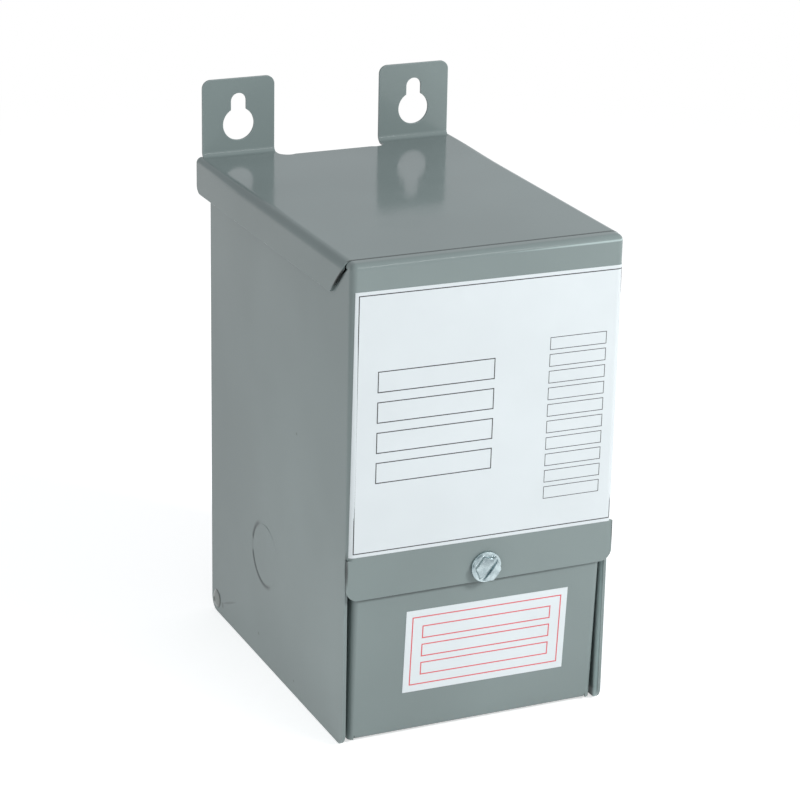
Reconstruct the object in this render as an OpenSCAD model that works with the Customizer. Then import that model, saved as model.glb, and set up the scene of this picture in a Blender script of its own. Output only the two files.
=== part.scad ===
// Small wall-mounted dry-type transformer: a case folded from sheet steel and filled with
// potting compound, over a wiring compartment that a screwed cover closes.
// Millimetres. +Z is up, the front faces -Y and the back hangs on a wall at +Y.
// The origin is on the floor, below the middle of the whole part.

/* [Case] */
// Width across the outside of the side walls
body_w = 93.4; // [84:0.1:120]
// Depth from the front face to the rear edges of the side walls
body_d = 122; // [105:1:160]
// Height of the top face above the floor
body_h = 163; // [145:1:220]
// Sheet thickness of the folded front and sides
wrap_t = 1; // [0.8:0.1:1.4]
// Inside radius of the folds around the front face
wrap_bend_r = 1.2; // [0.8:0.1:1.8]
// Depth of the lip that folds back from the front, level with the top, and steps down under the top cover
lip_d = 14; // [10:1:25]
// Length of the side walls' level upper edges behind the folds beside the front
ear_l = 1.4; // [0.5:0.1:2]
// Angle at which the side walls' upper edges fall from there to their lower part under the skirts
ear_angle = 37; // [34:1:44]
// Radius of the lower corners of the side walls
side_corner_r = 4.5; // [1:0.5:8]
// Height of the side walls' upper edges above the lower edges of the skirts
side_lap = 2.5; // [1.5:0.5:6]

/* [Flap] */
// Height of the flap's lower edge above the floor
flap_z = 52; // [45:0.1:62]
// Height of the flap, from its lower edge to the ends of its side slits
flap_h = 14; // [12:0.1:20]
// Width of the slits between the flap and the side walls
slit_w = 1.3; // [0.6:0.1:2]
// Distance of the flap's side edges outside the outer faces of the side walls
flap_side_out = 0.3; // [-1:0.1:0.6]
// Radius of the flap's lower corners
flap_corner_r = 4; // [1:0.5:6]

/* [Top cover] */
// Sheet thickness of the top cover
top_t = 1; // [0.8:0.1:1.4]
// Inside radius of the folds between the top and its skirts
top_bend_r = 1; // [0.8:0.1:2]
// Height of the skirts, from the top face to their lower edges
skirt_h = 12.5; // [9:0.5:18]
// Clearance between the skirts and the side walls
skirt_gap = 0.1; // [0.05:0.05:0.4]
// Distance of the top cover's front edge behind the front face
seam_y = 5; // [4.6:0.1:6.5]
// Width of the seam between the lip and the top cover's front edge
seam_gap = 0.3; // [0.2:0.1:0.6]
// Distance of the skirts' slanted front edges behind the front face, where their line meets the top face
mitre_set = 2.3; // [1.8:0.1:3]
// Radius of the skirts' rear lower corners
skirt_corner_r = 3; // [1:0.5:6]
// Distance from the side walls' rear edges to the wall behind the part
wall_gap = 10.6; // [8:0.1:16]
// Distance of the top's rear edge, between the tabs, in front of the wall
rear_set = 7.1; // [6:0.1:8]

/* [Hanging tabs] */
// Width of each tab
tab_w = 26.2; // [20:0.1:32]
// Height of the tabs above the top face
tab_h = 26.6; // [24:0.1:36]
// Inside radius of the fold at the foot of each tab
tab_bend_r = 1.8; // [1:0.1:2.5]
// Radius of the tabs' upper corners
tab_corner_r = 3; // [1:0.5:5]
// Radius of the punched relief at each tab's inner foot
tab_relief_r = 3.5; // [2:0.1:4]
// Depth to which the relief cuts into the top's rear edge
tab_relief_dip = 0.5; // [0.1:0.1:1]
// Diameter of the keyhole's entry for a screw head
key_d = 11.3; // [10:0.1:14]
// Width of the keyhole's slot for a screw shank
key_slot_w = 5.5; // [4:0.1:7]
// Height of the keyhole entry's centre above the top face
key_z = 10.6; // [9.5:0.1:12.5]
// Distance from the entry's centre up to the centre of the slot's round end
key_rise = 8; // [7:0.1:9.5]

/* [Back panel] */
// Sheet thickness of the back panel
back_t = 1; // [0.8:0.1:1.1]
// Inside radius of the back panel's folds
back_bend_r = 1.2; // [0.8:0.1:2]
// Distance of the back panel inside the side walls' rear edges
back_set = 1; // [0.5:0.1:2]
// Depth of the back panel's side flanges
back_flange_d = 14; // [11:1:25]
// Depth of the foot that folds forward under the lower cover
back_foot_d = 12; // [8:1:20]
// Clearance between the inner pieces and the sheet around them
inner_gap = 0.2; // [0.1:0.05:0.5]

/* [Lower cover] */
// Sheet thickness of the lower cover
cover_t = 1; // [0.8:0.1:1.4]
// Inside radius of the folds beside the lower cover's front
cover_bend_r = 0.8; // [0.8:0.1:2]
// Inside radius of the fold along the lower cover's bottom edge
cover_hem_r = 0.4; // [0.3:0.1:1]
// Gap between the lower cover and each side wall
cover_gap = 1.9; // [0.8:0.1:2.5]
// Angle by which the lower cover's front leans back towards its bottom
cover_lean = 3; // [0:0.5:5]
// Height of the lower cover that lies behind the flap
cover_lap = 10.5; // [9:0.5:11.5]
// Clearance between the flap and the lower cover's upper edge
cover_seat = 0.1; // [0.05:0.05:0.4]
// Height of the lower cover's bottom face above the floor
cover_floor = 1.1; // [1.1:0.1:3]
// Depth of the lower cover's side flanges
cover_flange_d = 14; // [8:1:25]
// Width of the cut between each end of the bottom fold and the side fold beside it
cover_relief_w = 0.4; // [0.2:0.1:1]

/* [Cover screw] */
// Diameter of the screw's shank
screw_d = 4.8; // [4:0.1:5]
// Length of the screw's shank
screw_l = 11; // [8:1:16]
// Width across the flats of the hexagon head
screw_hex = 7.9; // [7:0.1:8.5]
// Diameter of the washer under the head
screw_washer_d = 10.4; // [9.5:0.1:11.5]
// Thickness of the washer under the head
screw_washer_t = 0.9; // [0.6:0.1:1.4]
// Height of the hexagon above its washer
screw_head_h = 3; // [2.2:0.1:3.6]
// Width of the driver slot
screw_slot_w = 1.2; // [0.8:0.1:1.6]
// Depth of the driver slot
screw_slot_d = 1.4; // [0.8:0.1:1.8]
// Angle of the driver slot from level
screw_slot_turn = 52; // [0:1:90]
// Distance of the screw to the right of the middle
screw_x = 1.3; // [-3:0.1:3]
// Height of the screw above the flap's lower edge
screw_up = 5; // [4.5:0.1:6]
// Extra diameter of the screw's hole in the flap and in the lower cover
screw_play = 0.4; // [0.2:0.1:0.8]

/* [Rivets] */
// Diameter of the rivets' shanks
rivet_d = 3.2; // [2.4:0.1:4]
// Diameter of the rivets' heads
rivet_head_d = 6.5; // [5.5:0.1:8]
// Height of the rivets' heads
rivet_head_h = 1.2; // [0.8:0.1:1.8]
// Diameter of the pulled pin's hole in each head
rivet_pin_d = 1.9; // [1.2:0.1:2.2]
// Distance of the rivets from the side walls' rear edges and from the floor
rivet_inset = 5; // [4.5:0.1:7]
// Extra diameter of the rivets' holes
rivet_play = 0.2; // [0.1:0.1:0.4]

/* [Knockouts] */
// Diameter of the knockout holes
ko_d = 22.4; // [18:0.1:28]
// Widest gap between a knockout and its hole, on the side away from the front
ko_gap = 0.7; // [0.3:0.1:1]
// Width of the ties that still hold a knockout
ko_tie_w = 3.6; // [2:0.1:5]
// Distance of the knockouts' centres behind the front face
ko_y = 71; // [40:1:90]
// Height of the knockouts' centres above the floor
ko_z = 40; // [20:1:48]

/* [Stickers] */
// Thickness of the stickers
sticker_t = 0.12; // [0.08:0.02:0.3]
// Distance of the nameplate's side edges inside the outer faces of the side walls
plate_margin = 0.6; // [0.4:0.1:6]
// Distance of the nameplate's middle to the right of the case's middle
plate_x = 0.3; // [-0.3:0.1:0.3]
// Distance of the nameplate's upper edge below the top face
plate_drop = 9.3; // [7:0.1:20]
// Distance of the nameplate's lower edge above the flap's lower edge
plate_up = 14.5; // [14.5:0.1:22]
// Angle by which the nameplate was stuck on askew
plate_turn = 0.6; // [-0.6:0.1:0.6]
// Width of the notice on the lower cover
notice_w = 57.7; // [40:0.1:70]
// Height of the notice on the lower cover
notice_h = 29.3; // [18:0.1:32]
// Distance of the notice to the right of the middle
notice_x = 3.5; // [-6:0.1:6]
// Distance of the notice's upper edge below the flap's lower edge
notice_drop = 7.9; // [4:0.1:14]
// Angle by which the notice was stuck on askew
notice_turn = 0.7; // [-1.5:0.1:1.5]

/* [Potting] */
// Height of the potting compound's underside above the ends of the flap's slits
fill_up = 3; // [1:1:15]

/* [Hidden] */
$fn = 64;

paint = "#8a9291";
zinc = "#c9d2d4";
sticker_white = "#eef2f3";
compound = "#26282a";

// Sweep past a face, so that cuts leave no skin
over = 1;

wrap_ro = wrap_bend_r + wrap_t;
top_ro = top_bend_r + top_t;
back_ro = back_bend_r + back_t;
cover_ro = cover_bend_r + cover_t;
hem_ro = cover_hem_r + cover_t;

half_w = body_w / 2;
slit_z = flap_z + flap_h;
lip_z = body_h - top_t - inner_gap;
ear_z = body_h - wrap_ro;
ear_y = wrap_ro + ear_l;
lip_w = body_w - 2 * wrap_ro;
lip_rear_y = seam_y - seam_gap;
side_front_y = wrap_t + slit_w;
side_top_z = body_h - skirt_h + side_lap;

wall_y = body_d + wall_gap;
top_w = body_w + 2 * (skirt_gap + top_t);
top_flat_w = top_w - 2 * top_ro;
top_rear_y = wall_y - rear_set;
tab_bend_y = wall_y - top_t - tab_bend_r;
tab_mid_x = (top_flat_w - tab_w) / 2;
tab_inner_x = tab_mid_x - tab_w / 2;
tab_relief_y = top_rear_y + tab_relief_r - tab_relief_dip;

inner_w = body_w - 2 * wrap_t;
back_y = body_d - back_set;
back_w = inner_w - 2 * inner_gap;
back_top_z = body_h - top_t - inner_gap;
foot_z = cover_floor - back_t;

cover_w = inner_w - 2 * cover_gap;
cover_flat_w = cover_w - 2 * cover_ro;
cover_y = wrap_t + cover_seat;
cover_top_z = flap_z + cover_lap;
cover_rear_y = back_y - back_t - inner_gap;
// Length of the leaning front down to its bottom fold, and the place of that fold's middle
cover_front_l = (cover_top_z - cover_floor - hem_ro * (1 - sin(cover_lean))) / cos(cover_lean);
hem_y = cover_y + cover_front_l * sin(cover_lean) + hem_ro * cos(cover_lean);
cover_bottom_l = cover_rear_y - hem_y;

screw_z = flap_z + screw_up;
screw_reach = screw_washer_t + screw_head_h;
rivet_y = body_d - rivet_inset;
rivet_grip = wrap_t + inner_gap + back_t;

plate_w = body_w - 2 * plate_margin;
plate_z = flap_z + plate_up;
plate_h = body_h - plate_drop - plate_z;

fill_z = slit_z + fill_up;

// The front face's place, with the origin midway between the screw's head and the wall
front_y = screw_reach - (screw_reach + wall_y) / 2;

// Moves what is drawn from the front face to its place in the part
module in_place() {
    translate([0, front_y, 0]) children();
}

// Turns an outline of (depth, height) to stand in the part, with the given width across it
module across(width) {
    translate([-width / 2, 0, 0]) rotate([90, 0, 90]) linear_extrude(width) children();
}

// Turns an outline of (width, height) to stand in the part, from the depth y back by t
module facing(y, t) {
    translate([0, y + t, 0]) rotate([90, 0, 0]) linear_extrude(t) children();
}

// Rectangle standing on y = 0 with round lower corners
module round_foot(width, height, r) {
    translate([-width / 2, r]) square([width, height - r]);
    translate([-width / 2 + r, 0]) square([width - 2 * r, r]);
    for (side = [-1, 1]) translate([side * (width / 2 - r), r]) circle(r);
}

// Section of sheet folded to a U: its web at y = 0 and its two walls running up to y = depth
module folded_u(width, depth, t, r) {
    difference() {
        round_foot(width, depth, r + t);
        translate([0, t]) round_foot(width - 2 * t, depth, r);
    }
}

// The folds and walls of such a U, without its flat web
module folded_walls(width, depth, t, r) {
    difference() {
        folded_u(width, depth, t, r);
        translate([-width / 2 + r + t, -over]) square([width - 2 * (r + t), depth + 2 * over]);
    }
}

// Quarter ring of folded sheet about the origin, turned by the given angle
module fold(r, t, turn) {
    rotate(turn) intersection() {
        difference() {
            circle(r + t);
            circle(r);
        }
        square(r + t);
    }
}

// Hole through both side walls, along X
module cross_hole(d, y, z) {
    translate([-half_w - over, y, z]) rotate([0, 90, 0]) cylinder(d = d, h = body_w + 2 * over);
}

// Hole through sheet at the screw, along Y
module screw_hole() {
    translate([screw_x, -over, screw_z]) rotate([-90, 0, 0]) cylinder(d = screw_d + screw_play, h = screw_l);
}

// Region above the side walls' upper edges, which fall from the folded corners to the rear
module above_sides() {
    reach = body_d + over;
    fall = (ear_z - side_top_z) / tan(ear_angle);
    across(body_w + 2 * over) polygon([
        [ear_y + fall, side_top_z], [reach, side_top_z], [reach, body_h], [ear_y, body_h], [ear_y, ear_z]
    ]);
}

// Lip at the top of the front: a fold, a strip level with the top and a step down to a strip under the top cover
module lip_outline() {
    translate([wrap_ro, ear_z]) fold(wrap_bend_r, wrap_t, 90);
    translate([wrap_ro, body_h - wrap_t]) square([lip_rear_y - wrap_ro, wrap_t]);
    translate([lip_rear_y - wrap_t, lip_z - wrap_t]) square([wrap_t, body_h - lip_z + wrap_t]);
    translate([lip_rear_y - wrap_t, lip_z - wrap_t]) square([lip_d - lip_rear_y + wrap_t, wrap_t]);
}

// Right end of the lip: a fold down to the side wall, and a round corner where the three folds meet
module lip_end() {
    translate([lip_w / 2, 0, ear_z]) {
        facing(wrap_ro, lip_rear_y - wrap_ro) fold(wrap_bend_r, wrap_t, 0);
        translate([0, wrap_ro, 0]) intersection() {
            difference() {
                sphere(wrap_ro);
                sphere(wrap_bend_r);
            }
            translate([0, -wrap_ro, 0]) cube(wrap_ro);
        }
    }
}

// Lower part of one side wall, as an outline of (depth, height)
module side_outline() {
    length = body_d - side_front_y;
    translate([side_front_y + length / 2, 0]) round_foot(length, slit_z, side_corner_r);
}

module housing_wrap() {
    color(paint) in_place() difference() {
        union() {
            difference() {
                translate([0, 0, slit_z]) linear_extrude(ear_z - slit_z) folded_u(body_w, body_d, wrap_t, wrap_bend_r);
                above_sides();
            }
            across(lip_w) lip_outline();
            for (side = [0, 1]) mirror([side, 0, 0]) lip_end();
            facing(0, wrap_t) translate([0, flap_z]) round_foot(body_w + 2 * flap_side_out, flap_h, flap_corner_r);
            for (side = [-1, 1]) translate([side * (half_w - wrap_t / 2), 0, 0]) across(wrap_t) side_outline();
        }
        screw_hole();
        cross_hole(ko_d, ko_y, ko_z);
        cross_hole(rivet_d + rivet_play, rivet_y, rivet_inset);
    }
}

// Keyhole of one tab, as an outline about the tab's middle and the top face's height
module keyhole_outline() {
    translate([0, key_z]) circle(d = key_d);
    translate([-key_slot_w / 2, key_z]) square([key_slot_w, key_rise]);
    translate([0, key_z + key_rise]) circle(d = key_slot_w);
}

// One tab about its middle: a root in the top sheet, a fold and an upright with a keyhole
module tab() {
    upright_h = tab_h - tab_bend_r;
    translate([-tab_w / 2, top_rear_y - over, body_h - top_t]) cube([tab_w, tab_bend_y - top_rear_y + over, top_t]);
    across(tab_w) translate([tab_bend_y, body_h + tab_bend_r]) fold(tab_bend_r, top_t, -90);
    facing(wall_y - top_t, top_t) translate([0, body_h]) difference() {
        translate([0, tab_h]) mirror([0, 1]) round_foot(tab_w, upright_h, tab_corner_r);
        keyhole_outline();
    }
}

// Sheet in the corner between a right-hand tab and the top's rear edge, round where it was punched
module tab_relief() {
    translate([tab_inner_x - tab_relief_r, top_rear_y, body_h - top_t])
        cube([tab_relief_r, tab_relief_y - top_rear_y, top_t]);
}

// The punch that rounds that corner
module relief_punch() {
    translate([tab_inner_x - tab_relief_r, tab_relief_y, body_h - top_t - over])
        cylinder(r = tab_relief_r, h = top_t + 2 * over);
}

// Parts of the skirts that are cut away: the mitred front and the round rear lower corner
module skirt_cuts() {
    low = body_h - skirt_h;
    floor_z = low - over;
    mitre_z = body_h + mitre_set;
    across(top_w + 2 * over) polygon([[0, mitre_z], [0, floor_z], [mitre_z - floor_z, floor_z]]);
    across(top_w + 2 * over) translate([wall_y - skirt_corner_r, low + skirt_corner_r]) difference() {
        translate([0, -skirt_corner_r - over]) square(skirt_corner_r + over);
        circle(skirt_corner_r);
    }
}

module top_cover() {
    color(paint) in_place() union() {
        difference() {
            union() {
                difference() {
                    facing(seam_y, wall_y - seam_y)
                        translate([0, body_h]) mirror([0, 1]) folded_u(top_w, skirt_h, top_t, top_bend_r);
                    skirt_cuts();
                    translate([-top_flat_w / 2, top_rear_y, body_h - top_t - over])
                        cube([top_flat_w, rear_set + over, top_t + 2 * over]);
                }
                for (side = [0, 1]) mirror([side, 0, 0]) tab_relief();
            }
            for (side = [0, 1]) mirror([side, 0, 0]) relief_punch();
        }
        for (side = [-1, 1]) translate([side * tab_mid_x, 0, 0]) tab();
    }
}

// Back panel's outline of (depth, height): its sheet, the fold at its bottom and the foot
module back_outline() {
    translate([back_y - back_t, foot_z + back_ro]) square([back_t, back_top_z - foot_z - back_ro]);
    translate([back_y - back_ro, foot_z + back_ro]) fold(back_bend_r, back_t, -90);
    translate([back_y - back_foot_d, foot_z]) square([back_foot_d - back_ro, back_t]);
}

module back_panel() {
    color(paint) in_place() difference() {
        union() {
            across(back_w - 2 * back_ro) back_outline();
            translate([0, back_y, cover_floor]) linear_extrude(back_top_z - cover_floor)
                mirror([0, 1]) folded_walls(back_w, back_flange_d, back_t, back_bend_r);
        }
        cross_hole(rivet_d + rivet_play, rivet_y, rivet_inset);
    }
}

// Lower cover's bottom in its own leaning frame: its root in the front, the fold and the flat sheet
module cover_bottom_outline() {
    reach = 2 * hem_ro;
    down = [-sin(cover_lean), -cos(cover_lean)];
    translate([0, -cover_front_l]) square([cover_t, cover_ro]);
    translate([hem_ro, -cover_front_l]) {
        intersection() {
            difference() {
                circle(hem_ro);
                circle(cover_hem_r);
            }
            polygon([[0, 0], [-reach, 0], reach * (down - [1, 0]), reach * down]);
        }
        rotate(-cover_lean) translate([0, -hem_ro]) square([cover_bottom_l, cover_t]);
    }
}

// Leans what is drawn on a plumb front, below and behind the origin, to the lower cover's front
module on_cover() {
    translate([0, cover_y, cover_top_z]) rotate([cover_lean, 0, 0]) children();
}

module lower_cover() {
    color(paint) in_place() difference() {
        on_cover() {
            difference() {
                translate([0, 0, -cover_top_z]) linear_extrude(cover_top_z)
                    folded_u(cover_w, cover_flange_d, cover_t, cover_bend_r);
                translate([-cover_flat_w / 2, -over, -cover_front_l - body_h])
                    cube([cover_flat_w, cover_t + 2 * over, body_h]);
            }
            across(cover_flat_w - 2 * cover_relief_w) cover_bottom_outline();
        }
        translate([-half_w, 0, cover_floor - body_h]) cube([body_w, cover_flange_d + wall_gap, body_h]);
        screw_hole();
    }
}

// Screw's head and shank, standing on z = 0 with the shank down
module screw_body() {
    corner_d = screw_hex / cos(30);
    top_z = screw_washer_t + screw_head_h;
    dome_r = corner_d;
    cylinder(d = screw_washer_d, h = screw_washer_t);
    intersection() {
        cylinder(d = corner_d, h = top_z, $fn = 6);
        translate([0, 0, top_z - dome_r]) sphere(r = dome_r);
    }
    translate([0, 0, -screw_l]) cylinder(d = screw_d, h = screw_l);
}

module cover_screw() {
    color(zinc) in_place() translate([screw_x, 0, screw_z]) rotate([90, 0, 0]) rotate(screw_slot_turn) difference() {
        screw_body();
        translate([-screw_hex, -screw_slot_w / 2, screw_reach - screw_slot_d])
            cube([2 * screw_hex, screw_slot_w, screw_slot_d + over]);
    }
}

// Blind rivet with its head above z = 0, its shank through the sheets and its bulb below them
module rivet_body() {
    bulb_d = rivet_d * 1.5;
    bulb_h = rivet_d * 0.7;
    head_r = rivet_head_d / 2;
    ball_r = (head_r * head_r + rivet_head_h * rivet_head_h) / (2 * rivet_head_h);
    difference() {
        intersection() {
            translate([0, 0, rivet_head_h - ball_r]) sphere(r = ball_r);
            cylinder(d = rivet_head_d, h = rivet_head_h);
        }
        translate([0, 0, rivet_head_h / 2]) cylinder(d = rivet_pin_d, h = rivet_head_h);
    }
    translate([0, 0, -rivet_grip]) cylinder(d = rivet_d, h = rivet_grip);
    translate([0, 0, -rivet_grip - bulb_h]) cylinder(d = bulb_d, h = bulb_h);
}

// One rivet, on the left wall for side = -1 and on the right wall for side = 1
module rivet(side) {
    color(paint) in_place() translate([side * half_w, rivet_y, rivet_inset]) rotate([0, side * 90, 0]) rivet_body();
}

// One knockout, which lies off the middle of its hole towards the front, with its two ties
module knockout(side) {
    shift = ko_gap / 2;
    slug_r = (ko_d - ko_gap) / 2;
    color(paint) in_place() translate([side * (half_w - wrap_t / 2), ko_y, ko_z]) across(wrap_t) {
        translate([-shift, 0]) circle(slug_r - inner_gap / 4);
        intersection() {
            circle(d = ko_d - inner_gap / 2);
            translate([-ko_d / 2, -ko_tie_w / 2]) square([ko_d, ko_tie_w]);
        }
    }
}

// Skin around the front and its folds, between two distances outside the sheet
module front_skin(near, far) {
    difference() {
        translate([0, -far]) round_foot(body_w + 2 * far, body_d, wrap_ro + far);
        translate([0, -near]) round_foot(body_w + 2 * near, body_d, wrap_ro + near);
    }
}

module nameplate() {
    color(sticker_white) in_place() intersection() {
        translate([0, 0, slit_z - over]) linear_extrude(ear_z - slit_z) front_skin(0, sticker_t);
        translate([plate_x, 0, plate_z + plate_h / 2]) rotate([0, plate_turn, 0])
            cube([plate_w, 2 * wrap_ro, plate_h], center = true);
    }
}

module notice_label() {
    drop = cover_lap + notice_drop + notice_h / 2;
    color(sticker_white) in_place() on_cover() translate([notice_x, -sticker_t / 2, -drop])
        rotate([0, notice_turn, 0]) cube([notice_w, sticker_t, notice_h], center = true);
}

module potting_fill() {
    front = wrap_t + inner_gap;
    rear = back_y - back_ro - back_flange_d;
    fill_w = inner_w - 2 * inner_gap;
    corner_r = wrap_bend_r;
    top_z = lip_z - wrap_t - inner_gap;
    color(compound) in_place() translate([0, front, fill_z]) linear_extrude(top_z - fill_z) {
        round_foot(fill_w, rear - front, corner_r);
        translate([-back_w / 2 + back_ro, 0]) square([back_w - 2 * back_ro, back_y - back_t - inner_gap - front]);
    }
}

housing_wrap();
top_cover();
back_panel();
lower_cover();
cover_screw();
rivet(-1);  // left_rivet
rivet(1);  // right_rivet
knockout(-1);  // left_knockout
knockout(1);  // right_knockout
nameplate();
notice_label();
potting_fill();
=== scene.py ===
"""A small wall-mounted transformer in a case folded from sheet steel, dressed for a studio picture.

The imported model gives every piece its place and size, in metres. Its sheets, screw, rivets and knockouts are
shown by copies whose cut edges are rounded by a coat of paint or by tumbling. The stickers get plain ruled
boxes, and a finish is a small class that builds its own nodes.
"""

import logging
import math
from dataclasses import dataclass
from enum import Enum

import bmesh
import bpy
import numpy as np
from mathutils import Matrix, Vector


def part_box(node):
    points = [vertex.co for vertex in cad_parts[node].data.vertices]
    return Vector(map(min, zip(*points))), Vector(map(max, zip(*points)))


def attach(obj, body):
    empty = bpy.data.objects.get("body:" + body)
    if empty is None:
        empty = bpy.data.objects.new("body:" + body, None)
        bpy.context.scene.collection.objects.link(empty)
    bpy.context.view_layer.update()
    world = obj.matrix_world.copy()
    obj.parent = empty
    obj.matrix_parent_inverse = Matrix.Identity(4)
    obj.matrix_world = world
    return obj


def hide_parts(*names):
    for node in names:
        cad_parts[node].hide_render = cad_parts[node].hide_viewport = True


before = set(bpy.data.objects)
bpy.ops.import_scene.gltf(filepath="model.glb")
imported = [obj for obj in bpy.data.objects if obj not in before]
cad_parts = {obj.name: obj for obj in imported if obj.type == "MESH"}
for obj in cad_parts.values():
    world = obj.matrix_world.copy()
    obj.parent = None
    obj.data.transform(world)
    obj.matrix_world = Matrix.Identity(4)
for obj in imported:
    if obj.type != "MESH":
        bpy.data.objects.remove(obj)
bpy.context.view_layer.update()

MM = 0.001
BODY = "root"

log = logging.getLogger("transformer")

Colour = tuple[float, float, float]
Socket = bpy.types.NodeSocket
Mesh = bpy.types.Mesh
Material = bpy.types.Material
Piece = bpy.types.Object


class Slot(Enum):
    """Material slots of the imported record."""

    CASE = "case_paint"
    SCREW = "zinc_screw"
    STICKER = "sticker"
    POTTING = "potting"


class ShaderBoard:
    """A material's node tree, with short ways to add nodes and join them."""

    def __init__(self, name: str) -> None:
        """Start an empty tree.

        Args:
            name: name of the new material.
        """
        self.material: Material = bpy.data.materials.new(name)
        self.material.use_nodes = True
        self.nodes = self.material.node_tree.nodes
        self.links = self.material.node_tree.links
        self.nodes.clear()
        self.output = self.nodes.new("ShaderNodeOutputMaterial")

    def add(self, kind: str, inputs: dict[str | int, object], **settings: object) -> bpy.types.Node:
        """Add one node.

        Args:
            kind: Blender's name of the node type.
            inputs: input names or numbers to a constant, or to another node's output that is joined on.
            settings: the node's own properties.

        Returns:
            The new node.
        """
        node = self.nodes.new(kind)
        for name, value in settings.items():
            setattr(node, name, value)
        for name, value in inputs.items():
            if isinstance(value, Socket):
                self.links.new(value, node.inputs[name])
            else:
                node.inputs[name].default_value = value
        return node

    def place(self) -> Socket:
        """The point on the surface, in metres in the part's frame."""
        return self.add("ShaderNodeTexCoord", {}).outputs["Object"]

    def noise(self, per_metre: float, detail: float = 2.0) -> Socket:
        """Smooth noise around 0.5.

        Args:
            per_metre: patches along a metre.
            detail: octaves of finer noise on top.

        Returns:
            The noise's value.
        """
        inputs = {"Vector": self.place(), "Scale": per_metre, "Detail": detail}
        return self.add("ShaderNodeTexNoise", inputs).outputs["Fac"]

    def spread(self, value: Socket, ends: tuple[float, float], to: tuple[float, float]) -> Socket:
        """Map a value's range to another one, smoothly and within its ends.

        Args:
            value: what is mapped.
            ends: the range that is read.
            to: the range that comes out.

        Returns:
            The mapped value.
        """
        inputs = {"Value": value, "From Min": ends[0], "From Max": ends[1], "To Min": to[0], "To Max": to[1]}
        return self.add("ShaderNodeMapRange", inputs, interpolation_type="SMOOTHSTEP").outputs["Result"]

    def blend(self, share: Socket, first: Socket | Colour, second: Socket | Colour) -> Socket:
        """Mix two colours.

        Args:
            share: how much of the second colour shows.
            first: the first colour.
            second: the second colour.

        Returns:
            The mixed colour.
        """
        colours = [c if isinstance(c, Socket) else (*c, 1.0) for c in (first, second)]
        node = self.add("ShaderNodeMix", {0: share, 6: colours[0], 7: colours[1]}, data_type="RGBA")
        return node.outputs[2]

    def bump(self, height: Socket, depth: float, strength: float, below: Socket | None = None) -> Socket:
        """Relief of the surface's normal.

        Args:
            height: the relief's height.
            depth: metres for a height of 1.
            strength: share of the relief that shows.
            below: a coarser relief that this one lies on.

        Returns:
            The normal.
        """
        inputs: dict[str | int, object] = {"Height": height, "Distance": depth, "Strength": strength}
        if below is not None:
            inputs["Normal"] = below
        return self.add("ShaderNodeBump", inputs).outputs["Normal"]

    def finish(self, shader: bpy.types.Node) -> Material:
        """Join the shader to the output and hand the material over."""
        self.links.new(shader.outputs[0], self.output.inputs["Surface"])
        return self.material


def scaled(colour: Colour, by: float) -> Colour:
    """A colour made lighter or darker by one factor."""
    return (colour[0] * by, colour[1] * by, colour[2] * by)


@dataclass(frozen=True)
class Mark:
    """An oval mark in the paint: its middle and half-widths in metres, its turn about X and its tone."""

    place: tuple[float, float, float]
    reach: tuple[float, float, float]
    turn_deg: float = 0.0
    tone: float = 0.45
    strength: float = 0.5

    def share(self, board: ShaderBoard) -> Socket:
        """How much of the mark shows: all of it in the inner third, fading to none at its rim."""
        turn = (math.radians(self.turn_deg), 0.0, 0.0)
        inputs = {"Vector": board.place(), "Location": self.place, "Rotation": turn, "Scale": self.reach}
        local = board.add("ShaderNodeMapping", inputs, vector_type="TEXTURE").outputs["Vector"]
        away = board.add("ShaderNodeVectorMath", {0: local}, operation="LENGTH").outputs["Value"]
        return board.spread(away, (0.35, 1.0), (self.strength, 0.0))


@dataclass(frozen=True)
class Arc:
    """Painted shade in an arc about an axis along X, where a punched slug stands a little out of its hole and round a
    rivet's head.
    """

    y: float
    z: float
    radius: float
    reach: float
    facing_deg: float
    tie: float
    tone: float = 0.5
    strength: float = 0.6

    def share(self, board: ShaderBoard) -> Socket:
        """How much of the arc shows: it fades across its width, at its ends and at the tie."""
        flat = board.add("ShaderNodeVectorMath", {0: board.place(), 1: (0.0, 1.0, 1.0)}, operation="MULTIPLY")
        centre = (0.0, self.y, self.z)
        spoke = board.add("ShaderNodeVectorMath", {0: flat.outputs[0], 1: centre}, operation="SUBTRACT").outputs[0]
        away = board.add("ShaderNodeVectorMath", {0: spoke}, operation="LENGTH").outputs["Value"]
        off = board.add("ShaderNodeMath", {0: away, 1: self.radius}, operation="SUBTRACT").outputs[0]
        off = board.add("ShaderNodeMath", {0: off}, operation="ABSOLUTE").outputs[0]
        across = board.spread(off, (0.0, self.reach), (self.strength, 0.0))
        facing = math.radians(self.facing_deg)
        ahead = (0.0, math.cos(facing), math.sin(facing))
        along = board.add("ShaderNodeVectorMath", {0: spoke, 1: ahead}, operation="DOT_PRODUCT").outputs["Value"]
        along = board.spread(along, (-0.15 * self.radius, 0.25 * self.radius), (0.0, 1.0))
        height = board.add("ShaderNodeVectorMath", {0: spoke, 1: (0.0, 0.0, 1.0)}, operation="DOT_PRODUCT")
        height = board.add("ShaderNodeMath", {0: height.outputs["Value"]}, operation="ABSOLUTE").outputs[0]
        open_gap = board.spread(height, (0.7 * self.tie, 1.4 * self.tie), (0.25, 1.0))
        both = board.add("ShaderNodeMath", {0: across, 1: along}, operation="MULTIPLY").outputs[0]
        return board.add("ShaderNodeMath", {0: both, 1: open_gap}, operation="MULTIPLY").outputs[0]


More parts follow.
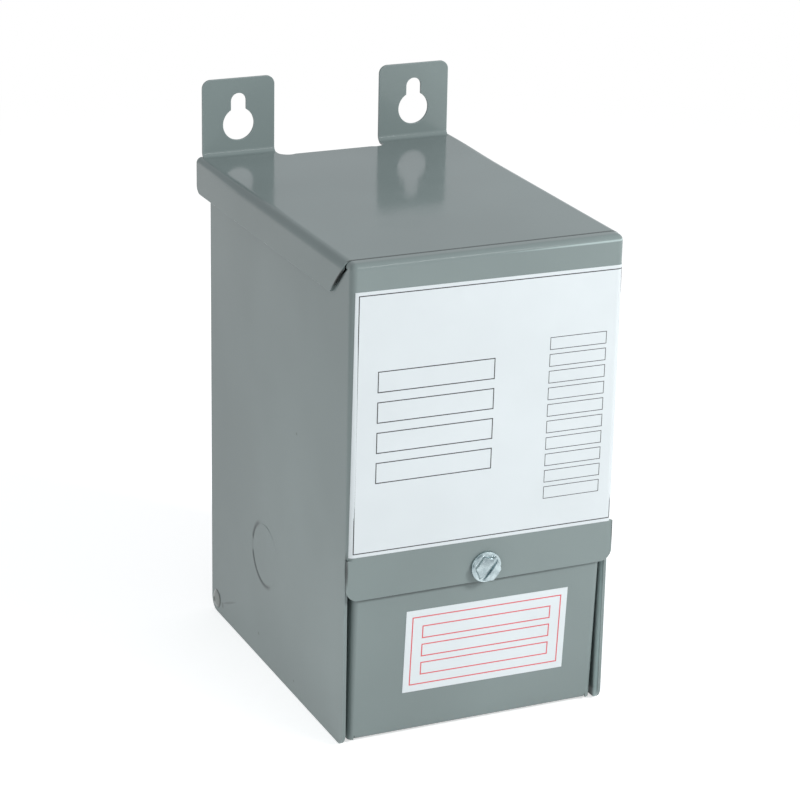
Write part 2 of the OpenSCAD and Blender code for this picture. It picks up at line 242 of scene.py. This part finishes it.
@dataclass(frozen=True)
class Enamel:
    """Semi-gloss grey enamel, with faint clouds in its colour and the fine relief of sprayed paint."""

    name: str
    colour: Colour
    clouds: float = 0.05
    gloss: tuple[float, float] = (0.10, 0.15)
    specular: float = 0.28
    cloud_per_metre: float = 16.0
    peel_per_metre: float = 620.0
    wave_per_metre: float = 22.0
    marks: tuple[Mark | Arc, ...] = ()

    def marked(self, board: ShaderBoard, colour: Socket) -> Socket:
        """Darken or lighten the colour at each mark.

        Args:
            board: the material's board.
            colour: the paint's colour without marks.

        Returns:
            The colour with marks.
        """
        for mark in self.marks:
            colour = board.blend(mark.share(board), colour, scaled(self.colour, mark.tone))
        return colour

    def material(self) -> Material:
        """Build the paint's nodes."""
        board = ShaderBoard(self.name)
        clouds = board.spread(board.noise(self.cloud_per_metre), (0.3, 0.7), (0.0, 1.0))
        colour = board.blend(clouds, scaled(self.colour, 1 - self.clouds), scaled(self.colour, 1 + self.clouds))
        rough = board.spread(board.noise(5 * self.cloud_per_metre), (0.3, 0.7), self.gloss)
        wave = board.bump(board.noise(self.wave_per_metre, 0.0), 1.0 * MM, 0.25)
        peel = board.bump(board.noise(self.peel_per_metre, 1.0), 0.03 * MM, 0.35, wave)
        inputs = {"Base Color": self.marked(board, colour), "Roughness": rough, "Normal": peel,
                  "Specular IOR Level": self.specular}
        return board.finish(board.add("ShaderNodeBsdfPrincipled", inputs))


@dataclass(frozen=True)
class Zinc:
    """Bright zinc plating with a bluish cast, dulled in patches."""

    name: str
    colour: Colour = (0.56, 0.66, 0.68)
    dull: Colour = (0.38, 0.46, 0.48)

    def material(self) -> Material:
        """Build the plating's nodes."""
        board = ShaderBoard(self.name)
        patches = board.spread(board.noise(420.0, 3.0), (0.35, 0.7), (0.0, 1.0))
        rough = board.spread(board.noise(900.0), (0.3, 0.7), (0.22, 0.36))
        grain = board.bump(board.noise(2500.0), 0.02 * MM, 0.4)
        inputs = {"Base Color": board.blend(patches, self.colour, self.dull), "Metallic": 1.0,
                  "Roughness": rough, "Normal": grain}
        return board.finish(board.add("ShaderNodeBsdfPrincipled", inputs))


@dataclass(frozen=True)
class Film:
    """Printable film or its ink: one colour with faint clouds and a satin face."""

    name: str
    colour: Colour
    clouds: float = 0.015
    gloss: tuple[float, float] = (0.32, 0.42)

    def material(self) -> Material:
        """Build the film's nodes."""
        board = ShaderBoard(self.name)
        clouds = board.spread(board.noise(40.0), (0.3, 0.7), (0.0, 1.0))
        colour = board.blend(clouds, scaled(self.colour, 1 - self.clouds), scaled(self.colour, 1 + self.clouds))
        rough = board.spread(board.noise(150.0), (0.3, 0.7), self.gloss)
        relief = board.bump(board.noise(60.0, 1.0), 0.15 * MM, 0.3)
        inputs = {"Base Color": colour, "Roughness": rough, "Normal": relief}
        return board.finish(board.add("ShaderNodeBsdfPrincipled", inputs))


@dataclass(frozen=True)
class Compound:
    """Dark casting compound full of sand."""

    name: str
    colour: Colour = (0.018, 0.019, 0.02)
    sand: Colour = (0.06, 0.058, 0.054)

    def material(self) -> Material:
        """Build the compound's nodes."""
        board = ShaderBoard(self.name)
        grains = board.spread(board.noise(1400.0, 3.0), (0.55, 0.75), (0.0, 1.0))
        inputs = {"Base Color": board.blend(grains, self.colour, self.sand), "Roughness": 0.6,
                  "Normal": board.bump(grains, 0.2 * MM, 0.6)}
        return board.finish(board.add("ShaderNodeBsdfPrincipled", inputs))


def welded(node: Piece) -> tuple[np.ndarray, np.ndarray]:
    """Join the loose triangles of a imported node.

    Corners that lie on the same tenth of a micrometre become one vertex, and a triangle that has lost a
    corner that way is dropped.

    Args:
        node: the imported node's object.

    Returns:
        The vertices and the triangles' vertex numbers.
    """
    step = 1e-7
    mesh = node.data
    corners = np.empty(3 * len(mesh.vertices), np.float32)
    mesh.vertices.foreach_get("co", corners)
    loops = np.empty(len(mesh.loops), np.int32)
    mesh.loops.foreach_get("vertex_index", loops)
    cells = np.round(corners.reshape(-1, 3).astype(float) / step).astype(np.int64)
    _, first, which = np.unique(cells, axis=0, return_index=True, return_inverse=True)
    triangles = which.reshape(-1)[loops].reshape(-1, 3)
    whole = (triangles != np.roll(triangles, 1, axis=1)).all(axis=1)
    return corners.reshape(-1, 3)[first], triangles[whole]


def new_piece(name: str, mesh: Mesh) -> Piece:
    """Add a mesh to the scene as a piece that rides on the part.

    Args:
        name: the piece's name.
        mesh: its mesh, in place.

    Returns:
        The piece.
    """
    piece = bpy.data.objects.new(name, mesh)
    bpy.context.scene.collection.objects.link(piece)
    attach(piece, BODY)
    return piece


def outward_folds(mesh: Mesh) -> tuple[np.ndarray, np.ndarray]:
    """Fold angle at each edge of a closed mesh.

    Every edge lies in two faces. Seen from the first one, the direction across the edge is the cross product of
    the edge, as that face runs along it, and the face's normal. The fold is outward where the second face's
    normal leans that way.

    Args:
        mesh: a mesh without open edges.

    Returns:
        The angle between the two faces' normals in radians, and whether the fold is outward.
    """
    total = len(mesh.loops)
    corners, edges = np.empty(total, np.int32), np.empty(total, np.int32)
    mesh.loops.foreach_get("vertex_index", corners)
    mesh.loops.foreach_get("edge_index", edges)
    sizes = np.empty(len(mesh.polygons), np.int32)
    mesh.polygons.foreach_get("loop_total", sizes)
    normals = np.empty(3 * len(mesh.polygons), np.float32)
    mesh.polygons.foreach_get("normal", normals)
    points = np.empty(3 * len(mesh.vertices), np.float32)
    mesh.vertices.foreach_get("co", points)
    points = points.reshape(-1, 3)
    last = np.cumsum(sizes) - 1
    following = np.arange(1, total + 1)
    following[last] = last - sizes + 1
    along = points[corners[following]] - points[corners]
    facing = np.repeat(normals.reshape(-1, 3), sizes, axis=0)
    first, second = np.argsort(edges, kind="stable").reshape(-1, 2).T
    across = np.cross(along[first], facing[first])
    angle = np.arccos(np.clip((facing[first] * facing[second]).sum(axis=1), -1.0, 1.0))
    return angle, (across * facing[second]).sum(axis=1) > 0


@dataclass(frozen=True)
class Crisp:
    """A round place about an axis along X, where edges stay crisp: its Y and Z and its radius, in metres."""

    y: float
    z: float
    radius: float


@dataclass(frozen=True)
class RoundFold:
    """A fold along Y between a top face and one side, drawn rounder than it is packed.

    The outer face's points in the fold's reach move along the spokes of a larger circle, which touches the same
    two faces, onto that circle. Towards the rear the move fades out, so that the rear corner keeps its shape.
    """

    side: int
    face_x: float
    face_z: float
    packed_radius: float
    radius: float
    whole_to_y: float
    none_from_y: float
    near: float = 0.01 * MM

    def cuts(self) -> list[tuple[Vector, Vector]]:
        """Planes, each by a point and a normal, that give the moved faces enough points."""
        steps = self.radius * (np.tan(np.radians([0.0, 7.0, 14.0])) - 1)
        planes = [(Vector((self.side * (self.face_x + step), 0, 0)), Vector((1, 0, 0))) for step in steps]
        planes += [(Vector((0, 0, self.face_z + step)), Vector((0, 0, 1))) for step in steps]
        along = np.linspace(self.whole_to_y, self.none_from_y, 12)
        return planes + [(Vector((0, y, 0)), Vector((0, 1, 0))) for y in along]

    def move(self, points: np.ndarray) -> np.ndarray:
        """Move the fold's outer face.

        Args:
            points: the sheet's vertices as rows of x, y and z.

        Returns:
            The vertices after the move.
        """
        x, y, z = points[:, 0] * self.side, points[:, 1], points[:, 2]
        packed = np.hypot(x - self.face_x + self.packed_radius, z - self.face_z + self.packed_radius)
        spoke = np.stack([x - self.face_x + self.radius, z - self.face_z + self.radius], axis=1)
        outer = (z > self.face_z - self.near) | (x > self.face_x - self.near)
        outer |= np.abs(packed - self.packed_radius) < self.near
        within = outer & (spoke > -self.near).all(axis=1) & (z < self.face_z + self.near)
        length = np.maximum(np.linalg.norm(spoke, axis=1), self.near)
        part = np.clip((self.none_from_y - y) / (self.none_from_y - self.whole_to_y), 0.0, 1.0)
        shift = (part * part * (3 - 2 * part) * (self.radius / length - 1))[:, None] * spoke
        moved = points.copy()
        moved[within, 0] += self.side * shift[within, 0]
        moved[within, 2] += shift[within, 1]
        return moved


@dataclass
class SoftEdged:
    """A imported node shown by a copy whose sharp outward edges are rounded."""

    node: str
    name: str
    slot: Slot
    edge: float
    crisp: tuple[Crisp, ...] = ()
    folds: tuple[RoundFold, ...] = ()
    flat_within_deg: float = 0.4
    sharp_from_deg: float = 35.0
    segments: int = 2

    def build(self) -> Piece:
        """Copy the node, join its flat faces and round its edges."""
        vertices, triangles = welded(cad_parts[self.node])
        mesh = bpy.data.meshes.new(self.name)
        mesh.from_pydata(vertices.tolist(), [], triangles.tolist())
        self.round_folds(mesh)
        shape = bmesh.new()
        shape.from_mesh(mesh)
        flat = math.radians(self.flat_within_deg)
        bmesh.ops.dissolve_limit(shape, angle_limit=flat, verts=shape.verts, edges=shape.edges)
        shape.to_mesh(mesh)
        shape.free()
        mesh.shade_smooth()
        self.weigh_edges(mesh)
        piece = new_piece(self.name, mesh)
        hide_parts(self.node)
        self.round_edges(piece)
        return piece

    def round_folds(self, mesh: Mesh) -> None:
        """Draw the sheet's folds rounder, where the piece has any."""
        for fold in self.folds:
            shape = bmesh.new()
            shape.from_mesh(mesh)
            for point, normal in fold.cuts():
                whole = shape.verts[:] + shape.edges[:] + shape.faces[:]
                bmesh.ops.bisect_plane(shape, geom=whole, dist=1e-6, plane_co=point, plane_no=normal)
            bmesh.ops.triangulate(shape, faces=shape.faces)
            shape.to_mesh(mesh)
            shape.free()
            points = np.empty(3 * len(mesh.vertices), np.float32)
            mesh.vertices.foreach_get("co", points)
            moved = fold.move(points.reshape(-1, 3).astype(float))
            mesh.vertices.foreach_set("co", moved.reshape(-1).astype(np.float32))

    def weigh_edges(self, mesh: Mesh) -> None:
        """Mark the edges that are rounded: sharp outward ones, outside the crisp places."""
        angle, outward = outward_folds(mesh)
        weight = ((angle > math.radians(self.sharp_from_deg)) & outward).astype(np.float32)
        ends = np.empty(2 * len(mesh.edges), np.int32)
        mesh.edges.foreach_get("vertices", ends)
        points = np.empty(3 * len(mesh.vertices), np.float32)
        mesh.vertices.foreach_get("co", points)
        middle = points.reshape(-1, 3)[ends.reshape(-1, 2)].mean(axis=1)
        for place in self.crisp:
            weight[np.hypot(middle[:, 1] - place.y, middle[:, 2] - place.z) < place.radius] = 0.0
        mesh.attributes.new("bevel_weight_edge", "FLOAT", "EDGE").data.foreach_set("value", weight)

    def round_edges(self, piece: Piece) -> None:
        """Give the piece rounded edges and normals that keep its flats flat."""
        bevel = piece.modifiers.new("rounded edges", "BEVEL")
        bevel.width = self.edge
        bevel.segments = self.segments
        bevel.limit_method = "WEIGHT"
        bevel.use_clamp_overlap = False
        bevel.material = 1
        normals = piece.modifiers.new("flat faces stay flat", "WEIGHTED_NORMAL")
        normals.mode = "FACE_AREA"
        normals.weight = 100

    def dress(self, piece: Piece, face: Material, worn_and_lit_edge: Material) -> None:
        """Give the faces and the rounded edges their finishes."""
        piece.data.materials.append(face)
        piece.data.materials.append(worn_and_lit_edge)


@dataclass
class GapPaint:
    """Paint that bridges the narrow gap round a punched slug, a little below the wall's face."""

    side: int
    y: float = 6.65 * MM
    z: float = 40 * MM
    inner: float = 10.25 * MM
    outer: float = 11.35 * MM
    face: float = 46.58 * MM
    back: float = 46.2 * MM
    steps: int = 96

    def build(self) -> Piece:
        """Carry a rectangle round a circle about an axis along X.

        At the angle u a corner with the radius r lies at y + r cos u and z + r sin u, and the corners run from
        the inner to the outer radius on the paint's face and return on its back.

        Returns:
            The ring.
        """
        u = np.linspace(0.0, 2 * np.pi, self.steps, endpoint=False)[:, None]
        radius = np.array([self.inner, self.outer, self.outer, self.inner])[None, :]
        across = self.side * np.array([self.face, self.face, self.back, self.back])[None, :] + 0 * u
        points = np.stack([across, self.y + radius * np.cos(u), self.z + radius * np.sin(u)], axis=-1)
        number = np.arange(4 * self.steps).reshape(self.steps, 4)
        ahead, beside = np.roll(number, -1, axis=0), np.roll(number, -1, axis=1)
        quads = np.stack([number, beside, np.roll(ahead, -1, axis=1), ahead], axis=-1).reshape(-1, 4)
        name = ("left" if self.side < 0 else "right") + "_knockout_paint"
        mesh = bpy.data.meshes.new(name)
        mesh.from_pydata(points.reshape(-1, 3).tolist(), [], quads[:, ::self.side].tolist())
        return new_piece(name, mesh)


@dataclass
class Case:
    """The painted case: its folded sheets, rivets and knockouts."""

    sheet_edge: float = 0.16 * MM
    small_edge: float = 0.10 * MM

    def pieces(self) -> list[SoftEdged]:
        """The case's sheets and knockouts, with the top cover last."""
        low, high = (np.array(corner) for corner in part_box("left_knockout"))
        knockout = Crisp(*((low + high) / 2)[1:], 0.6 * (high - low)[1])
        sheets = ["housing_wrap", "back_panel", "lower_cover", "left_knockout", "right_knockout"]
        top = SoftEdged("top_cover", "top_cover_painted", Slot.CASE, self.sheet_edge, folds=self.top_folds())
        made = [SoftEdged(node, node + "_painted", Slot.CASE, self.sheet_edge, (knockout,)) for node in sheets]
        return made + [top]

    @staticmethod
    def top_folds() -> tuple[RoundFold, ...]:
        """The top's folds to its skirts, left and right."""
        half, top = 47.8 * MM, 163 * MM
        ends = 22 * MM, 63.5 * MM
        return tuple(RoundFold(side, half, top, 2 * MM, 3.3 * MM, *ends) for side in (-1, 1))

    @staticmethod
    def marks() -> tuple[Mark | Arc, ...]:
        """Marks in the paint: specks on the left side, and painted shade, shadow and highlights at seams, gaps and
        edges.
        """
        # Painted shade: a dark line in the gap between the top cover and the front's lip.
        seam_shade = Mark((0.0, -59.35 * MM, 163 * MM), (1.0, 0.85 * MM, 0.7 * MM), tone=0.25, strength=0.85)
        # Painted shade: near-black mitres where the top's skirts end in front.
        mitre_shades = [Mark((side * 47.4 * MM, -55.8 * MM, 156.5 * MM), (1.4 * MM, 9.5 * MM, 0.85 * MM), -45.0, 0.04, 1.0)
                  for side in (-1, 1)]
        # Dark specks on the left side, and a larger dark spot below the rivet's front edge.
        places = [(12.1, 8.7, 0.8), (-19.9, 5.0, 0.65), (-21.2, 93.6, 0.7), (47.2, 4.6, 1.5)]
        specks = [Mark((-46.7 * MM, y * MM, z * MM), (reach * MM,) * 3) for y, z, reach in places]
        # Painted shade: a dark streak in front of the rivet, in a small dent in the wall.
        dent_shade = Mark((-46.7 * MM, 40.5 * MM, 8.2 * MM), (1 * MM, 9.5 * MM, 0.6 * MM), -24.0, 0.55, 0.55)
        # Painted highlights: light dots where the tabs bend up.
        glints = [Mark((x * MM, 66.6 * MM, 164.4 * MM), (0.6 * MM,) * 3, tone=2.6, strength=0.8) for x in (-19.8, 45.2)]
        # Painted shade: a dark arc in the rear lower half of the gap round each knockout.
        arc = Arc(6.65 * MM, 40 * MM, 11.2 * MM, 1.4 * MM, -26.0, 2.4 * MM, 0.45, 0.85)
        # Painted shadow: a dark band on the lower cover under the flap's lower edge.
        shadow_under_flap = Mark((-12 * MM, -63.3 * MM, 51.0 * MM), (90 * MM, 1.1 * MM, 1.2 * MM), tone=0.45, strength=0.85)
        # Painted shade: dark slits beside the flap's ends.
        slit_shades = [Mark((side * 46.9 * MM, -63.2 * MM, 62.5 * MM), (0.65 * MM, 2 * MM, 8.5 * MM), 0.0, 0.08, 1.0)
                 for side in (-1, 1)]
        # Painted light: a lighter strip on the right wall's inner face near its front edge, which lies in shade.
        lightened = Mark((45.7 * MM, -59.9 * MM, 27 * MM), (0.6 * MM, 2.5 * MM, 60 * MM), tone=3.2, strength=0.95)
        # Painted highlight: a light line along the front lip's bend.
        lip_highlight = Mark((46 * MM, -63.5 * MM, 161.3 * MM), (50 * MM, 2.5 * MM, 0.45 * MM), tone=2.4, strength=0.65)
        # Painted shade: a dark arc round the rivet's head on the wall.
        low, high = (np.array(corner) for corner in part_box("left_rivet"))
        ring = Arc(*((low + high) / 2)[1:], (high - low)[1] / 2, 0.55 * MM, 165.0, 0.01 * MM, 0.3, 0.8)
        return (seam_shade, *mitre_shades, *specks, dent_shade, *glints, arc, shadow_under_flap, *slit_shades, lightened, lip_highlight, ring)

    def build(self) -> list[Piece]:
        """Build and paint all pieces of the case."""
        grey = (0.235, 0.285, 0.281)
        marks = self.marks()
        paint = Enamel("case enamel", grey, marks=marks).material()
        # The rounded edges get a lighter enamel: partly thin wear of the paint, partly a painted highlight along the
        # edges.
        edge = Enamel("enamel on edges", scaled(grey, 1.25), gloss=(0.2, 0.3), marks=marks).material()
        made = []
        for soft in self.pieces():
            piece = soft.build()
            soft.dress(piece, paint, edge)
            made.append(piece)
        for side in (-1, 1):
            piece = GapPaint(side).build()
            piece.data.materials.append(paint)
            made.append(piece)
        return made + self.rivets()

    def rivets(self) -> list[Piece]:
        """Build both rivets, whose paint is lighter and glossier, with a lighter dot and painted shade round the head.
        """
        low, high = (np.array(corner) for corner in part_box("left_rivet"))
        middle = (low + high) / 2
        # A lighter dot in the middle of the rivet's head.
        lightened = Mark((low[0], middle[1], middle[2]), (0.5 * MM, 1.1 * MM, 1.1 * MM), tone=1.9, strength=0.9)
        # Painted shade: a dark rim round the rivet's head.
        rim = Arc(middle[1], middle[2], (high - low)[1] / 2, 0.6 * MM, 165.0, 0.01 * MM, 0.35, 0.7)
        grey = (0.34, 0.36, 0.345)
        paint = Enamel("paint on rivets", grey, gloss=(0.16, 0.24), specular=0.6, marks=(lightened, rim)).material()
        made = []
        for node in ("left_rivet", "right_rivet"):
            soft = SoftEdged(node, node + "_painted", Slot.CASE, self.small_edge)
            piece = soft.build()
            soft.dress(piece, paint, paint)
            made.append(piece)
        return made


@dataclass
class CoverScrew:
    """The slotted hexagon screw that holds the lower cover."""

    edge: float = 0.14 * MM

    def build(self) -> list[Piece]:
        """Build and plate the screw."""
        soft = SoftEdged("cover_screw", "cover_screw_plated", Slot.SCREW, self.edge)
        piece = soft.build()
        plating = Zinc("zinc plating").material()
        soft.dress(piece, plating, plating)
        return [piece]


@dataclass(frozen=True)
class Ruled:
    """An empty ruled box on a sticker: its middle, size and line width, in metres from the sticker's middle."""

    x: float
    z: float
    width: float
    height: float
    line: float

    def strips(self) -> np.ndarray:
        """The box's four lines as rows of (low x, low z, high x, high z)."""
        outer = np.array([self.x - self.width / 2, self.z - self.height / 2,
                          self.x + self.width / 2, self.z + self.height / 2])
        inner = outer + self.line * np.array([1, 1, -1, -1])
        return np.array([
            [outer[0], outer[1], outer[2], inner[1]],
            [outer[0], inner[3], outer[2], outer[3]],
            [outer[0], inner[1], inner[0], inner[3]],
            [inner[2], inner[1], outer[2], inner[3]],
        ])


@dataclass
class Sticker:
    """A printed film on the case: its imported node, its place and the empty boxes printed on it."""

    node: str
    middle_x: float
    lean_deg: float
    turn_deg: float
    boxes: list[Ruled]
    ink: Colour
    film: float = 0.12 * MM
    proud: float = 0.015 * MM
    bend_from: float = 44.5 * MM
    bend_radius: float = 2.32 * MM
    cells: int = 112

    def anchor(self) -> np.ndarray:
        """The middle of the film's face."""
        low, high = (np.array(corner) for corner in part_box(self.node))
        lean = math.radians(self.lean_deg)
        middle = (low + high) / 2
        if self.lean_deg:
            return middle - self.film / 2 * np.array([0.0, math.cos(lean), math.sin(lean)])
        return np.array([self.middle_x, low[1], middle[2]])

    def print_mesh(self) -> Mesh:
        """Print the boxes' lines as thin strips.

        A strip is a grid with the parameters u along X, closer together at its ends, and v along Z. Its point is
        turned in the sticker's plane, leaned about the X axis with the cover that carries it and set off along the
        face's normal. Beyond the place where the case's fold begins it falls back on a circle about the fold's axis.

        Returns:
            The strips' mesh, in place.
        """
        strips = np.concatenate([box.strips() for box in self.boxes])[:, :, None, None]
        u = (0.5 - 0.5 * np.cos(np.linspace(0.0, np.pi, self.cells + 1)))[None, None, :]
        v = np.array([0.0, 1.0])[None, :, None]
        x = strips[:, 0] + u * (strips[:, 2] - strips[:, 0]) + 0 * v
        z = strips[:, 1] + v * (strips[:, 3] - strips[:, 1]) + 0 * u
        turn, lean = math.radians(self.turn_deg), math.radians(self.lean_deg)
        anchor = self.anchor()
        across = anchor[0] + x * math.cos(turn) + z * math.sin(turn)
        up = z * math.cos(turn) - x * math.sin(turn)
        radius = self.bend_radius + self.proud
        beyond = np.clip(np.abs(across) - self.bend_from, 0.0, 0.98 * radius)
        fall = radius - np.sqrt(radius**2 - beyond**2)
        points = np.stack([
            across,
            anchor[1] - up * math.sin(lean) - self.proud * math.cos(lean) + fall,
            anchor[2] + up * math.cos(lean) - self.proud * math.sin(lean),
        ], axis=-1)
        number = np.arange(across.size).reshape(across.shape)
        quads = np.stack([number[:, 0, :-1], number[:, 0, 1:], number[:, 1, 1:], number[:, 1, :-1]], axis=-1)
        mesh = bpy.data.meshes.new(self.node + "_print")
        mesh.from_pydata(points.reshape(-1, 3).tolist(), [], quads.reshape(-1, 4).tolist())
        mesh.shade_smooth()
        return mesh

    def build(self, film: Material) -> list[Piece]:
        """Dress the film and print it.

        Args:
            film: the film's finish.

        Returns:
            The new pieces.
        """
        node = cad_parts[self.node]
        node.data.materials.clear()
        node.data.materials.append(film)
        piece = new_piece(self.node + "_print", self.print_mesh())
        piece.data.materials.append(Film(self.node + " ink", self.ink, gloss=(0.4, 0.5)).material())
        return [piece]


def nameplate_boxes() -> list[Ruled]:
    """The nameplate's frame, its wide boxes on the left and its column of small boxes on the right."""
    hair, line = 0.22 * MM, 0.32 * MM
    boxes = [Ruled(0.35 * MM, 0, 90.7 * MM, 85.0 * MM, line)]
    boxes += [Ruled(-18 * MM, z * MM, 40 * MM, 7 * MM, line) for z in (14, 4, -6, -16)]
    boxes += [Ruled(31 * MM, z * MM, 20 * MM, 4.2 * MM, hair) for z in np.arange(20, -36, -5.6)]
    return boxes


def notice_boxes() -> list[Ruled]:
    """The notice's frame and its three blank fields."""
    line = 0.4 * MM
    frame_box = Ruled(0, 0, 53.4 * MM, 24.6 * MM, line)
    return [frame_box] + [Ruled(0, z * MM, 46 * MM, 4.6 * MM, line) for z in (6.6, 0, -6.6)]


@dataclass
class Stickers:
    """The nameplate on the front and the notice on the lower cover."""

    def build(self) -> list[Piece]:
        """Dress and print both stickers."""
        white = (0.755, 0.81, 0.83)
        plate = Sticker("nameplate", 0.3 * MM, 0.0, 0.6, nameplate_boxes(), (0.03, 0.032, 0.035))
        notice = Sticker("notice_label", 3.5 * MM, 3.0, 0.7, notice_boxes(), (0.75, 0.12, 0.14))
        made = plate.build(Film("nameplate film", scaled(white, 0.95)).material())
        return made + notice.build(Film("notice film", scaled(white, 1.02)).material())


@dataclass
class Filling:
    """The block of casting compound inside the case."""

    def build(self) -> list[Piece]:
        """Dress the block."""
        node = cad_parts["potting_fill"]
        node.data.materials.clear()
        node.data.materials.append(Compound("casting compound").material())
        return [node]


@dataclass(frozen=True)
class Level:
    """A brightness for rays that light things, for mirrored or transmitted rays and for the camera's own."""

    lit: float
    mirrored: float
    seen: float

    def socket(self, nodes: bpy.types.Nodes, links: bpy.types.NodeLinks) -> Socket:
        """Build the nodes that pick the brightness.

        Args:
            nodes: nodes of the tree that it goes to.
            links: links of that tree.

        Returns:
            The brightness for the ray at hand.
        """
        path = nodes.new("ShaderNodeLightPath")
        level: Socket | float = self.lit
        rays = {"Is Glossy Ray": self.mirrored, "Is Transmission Ray": self.mirrored, "Is Camera Ray": self.seen}
        for name, value in rays.items():
            pick = nodes.new("ShaderNodeMapRange")
            pick.inputs["To Max"].default_value = value
            links.new(path.outputs[name], pick.inputs["Value"])
            if isinstance(level, Socket):
                links.new(level, pick.inputs["To Min"])
            else:
                pick.inputs["To Min"].default_value = level
            level = pick.outputs["Result"]
        return level


@dataclass(frozen=True)
class Softbox:
    """A square area light that looks at a point, and that glossy faces may mirror or not."""

    name: str
    place: tuple[float, float, float]
    target: tuple[float, float, float]
    side: float
    watts: float
    mirrored: bool = True

    def build(self) -> None:
        """Add the light to the scene."""
        light = bpy.data.lights.new(self.name, "AREA")
        light.shape = "SQUARE"
        light.size = self.side
        light.energy = self.watts
        lamp = bpy.data.objects.new(self.name, light)
        lamp.visible_camera = False
        lamp.visible_glossy = self.mirrored
        look = Vector(self.target) - Vector(self.place)
        lamp.matrix_world = Matrix.Translation(self.place) @ look.to_track_quat("-Z", "Y").to_matrix().to_4x4()
        bpy.context.scene.collection.objects.link(lamp)


@dataclass
class Studio:
    """White surroundings, soft lamps, a pale floor and the camera."""

    azimuth_deg: float = -24.403
    elevation_deg: float = 20.088
    roll_deg: float = 1.137
    distance: float = 0.92493
    target: tuple[float, float, float] = (-0.00904, -0.01835, 0.09931)
    lens_mm: float = 126.98
    dome: Level = Level(0.46, 0.715, 1.0)
    tint: Colour = (0.965, 0.998, 1.025)
    floor_half: float = 4.0
    floor_albedo: float = 0.9
    floor_lift: Level = Level(0.0, 0.40, 0.60)
    far_floor: Level = Level(0.0, 1.0, 1.0)

    def build_world(self) -> None:
        """Light the part with an even dome that is seen as white."""
        world = bpy.data.worlds.new("studio")
        bpy.context.scene.world = world
        world.use_nodes = True
        nodes, links = world.node_tree.nodes, world.node_tree.links
        backdrop = nodes["Background"]
        backdrop.inputs["Color"].default_value = (*self.tint, 1.0)
        links.new(self.dome.socket(nodes, links), backdrop.inputs["Strength"])

    def build_floor(self) -> None:
        """Lay the floor: white paint that keeps the shadow, lifted to white where it is only seen."""
        half = self.floor_half
        mesh = bpy.data.meshes.new("floor")
        mesh.from_pydata([(-half, -half, 0), (half, -half, 0), (half, half, 0), (-half, half, 0)], [], [(0, 1, 2, 3)])
        floor = bpy.data.objects.new("floor", mesh)
        bpy.context.scene.collection.objects.link(floor)
        board = ShaderBoard("floor paint")
        paint = board.add("ShaderNodeBsdfDiffuse", {"Color": (self.floor_albedo,) * 3 + (1.0,)})
        glow = board.add("ShaderNodeEmission", {"Strength": self.floor_lift.socket(board.nodes, board.links)})
        both = board.add("ShaderNodeAddShader", {0: paint.outputs[0], 1: glow.outputs[0]})
        away = board.add("ShaderNodeVectorMath", {0: board.place()}, operation="LENGTH")
        far = board.spread(away.outputs["Value"], (0.25, 0.8), (0.0, 1.0))
        seen = self.far_floor.socket(board.nodes, board.links)
        share = board.add("ShaderNodeMath", {0: far, 1: seen}, operation="MULTIPLY")
        white = board.add("ShaderNodeEmission", {"Strength": 1.0})
        mixed = board.add("ShaderNodeMixShader", {0: share.outputs[0], 1: both.outputs[0], 2: white.outputs[0]})
        mesh.materials.append(board.finish(mixed))

    def build_lamps(self) -> None:
        """Hang the softboxes: a near one in front on the right, and weak ones above it and low on the left."""
        middle = (0.0, 0.0, 0.09)
        lamps = [
            Softbox("front softbox", (0.476, -0.595, 0.50), middle, 0.16, 3.35, False),
            Softbox("front glint", (0.476, -0.595, 0.50), middle, 0.06, 0.6),
            Softbox("high softbox", (0.31, -0.64, 0.61), middle, 0.15, 0.4),
            Softbox("left softbox", (-0.55, -0.55, 0.25), middle, 0.3, 0.35),
            Softbox("low softbox", (-0.17, -0.035, 0.025), (-0.05, -0.02, 0.03), 0.05, 0.034, False),
        ]
        for lamp in lamps:
            lamp.build()

    def build_camera(self) -> None:
        """Set the camera up at the photograph's viewing angle, with its slight roll."""
        azimuth, elevation = math.radians(self.azimuth_deg), math.radians(self.elevation_deg)
        back = Vector((math.sin(azimuth) * math.cos(elevation), -math.cos(azimuth) * math.cos(elevation),
                       math.sin(elevation)))
        level = (-back).to_track_quat("-Z", "Y").to_matrix().to_4x4()
        roll = Matrix.Rotation(math.radians(self.roll_deg), 4, "Z")
        data = bpy.data.cameras.new("camera")
        data.lens = self.lens_mm
        camera = bpy.data.objects.new("camera", data)
        camera.matrix_world = Matrix.Translation(Vector(self.target) + self.distance * back) @ level @ roll
        bpy.context.scene.collection.objects.link(camera)
        bpy.context.scene.camera = camera

    def build(self) -> None:
        """Set up the whole studio."""
        bpy.context.scene.view_settings.view_transform = "Standard"
        self.build_world()
        self.build_floor()
        self.build_lamps()
        self.build_camera()


def main() -> None:
    """Build the part's assemblies in order, then the studio around them."""
    logging.basicConfig(level=logging.INFO, format="%(message)s")
    for assembly in (Case(), CoverScrew(), Stickers(), Filling()):
        for piece in assembly.build():
            log.info("%s: %s, %d faces", type(assembly).__name__, piece.name, len(piece.data.polygons))
    Studio().build()


if __name__ == "__main__":
    main()
